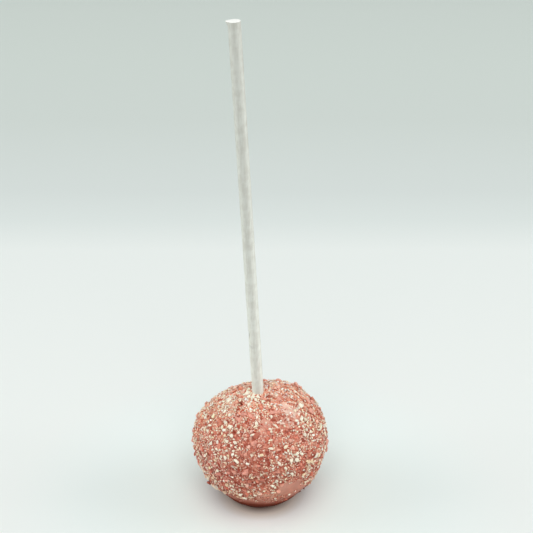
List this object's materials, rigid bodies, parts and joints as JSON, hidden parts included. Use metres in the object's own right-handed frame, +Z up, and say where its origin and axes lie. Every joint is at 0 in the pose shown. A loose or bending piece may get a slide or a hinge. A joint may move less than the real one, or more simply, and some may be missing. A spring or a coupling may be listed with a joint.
{
  "type": "cake pop",
  "caption": "Cake pop standing on its ball: pink candy-coated cake rolled in pink and cream crumbs, with a long white paper stick up from its crown.",
  "frame": {"origin": "on the table, at the middle of the ball's small flat foot", "axes": "+Z up, the side seen in the picture faces -Y, and +X is its right; the stick leans about 3 degrees towards -X and -Y"},
  "size_m": [0.0468, 0.0471, 0.171],
  "materials": {
    "candy_coating": "satin pink candy coating, rough with pink and cream crumbs",
    "paper": "matte, tightly rolled white paper"
  },
  "bodies": {
    "root": {"coated_ball": "candy_coating", "paper_stick": "paper"}
  },
  "joints": []
}
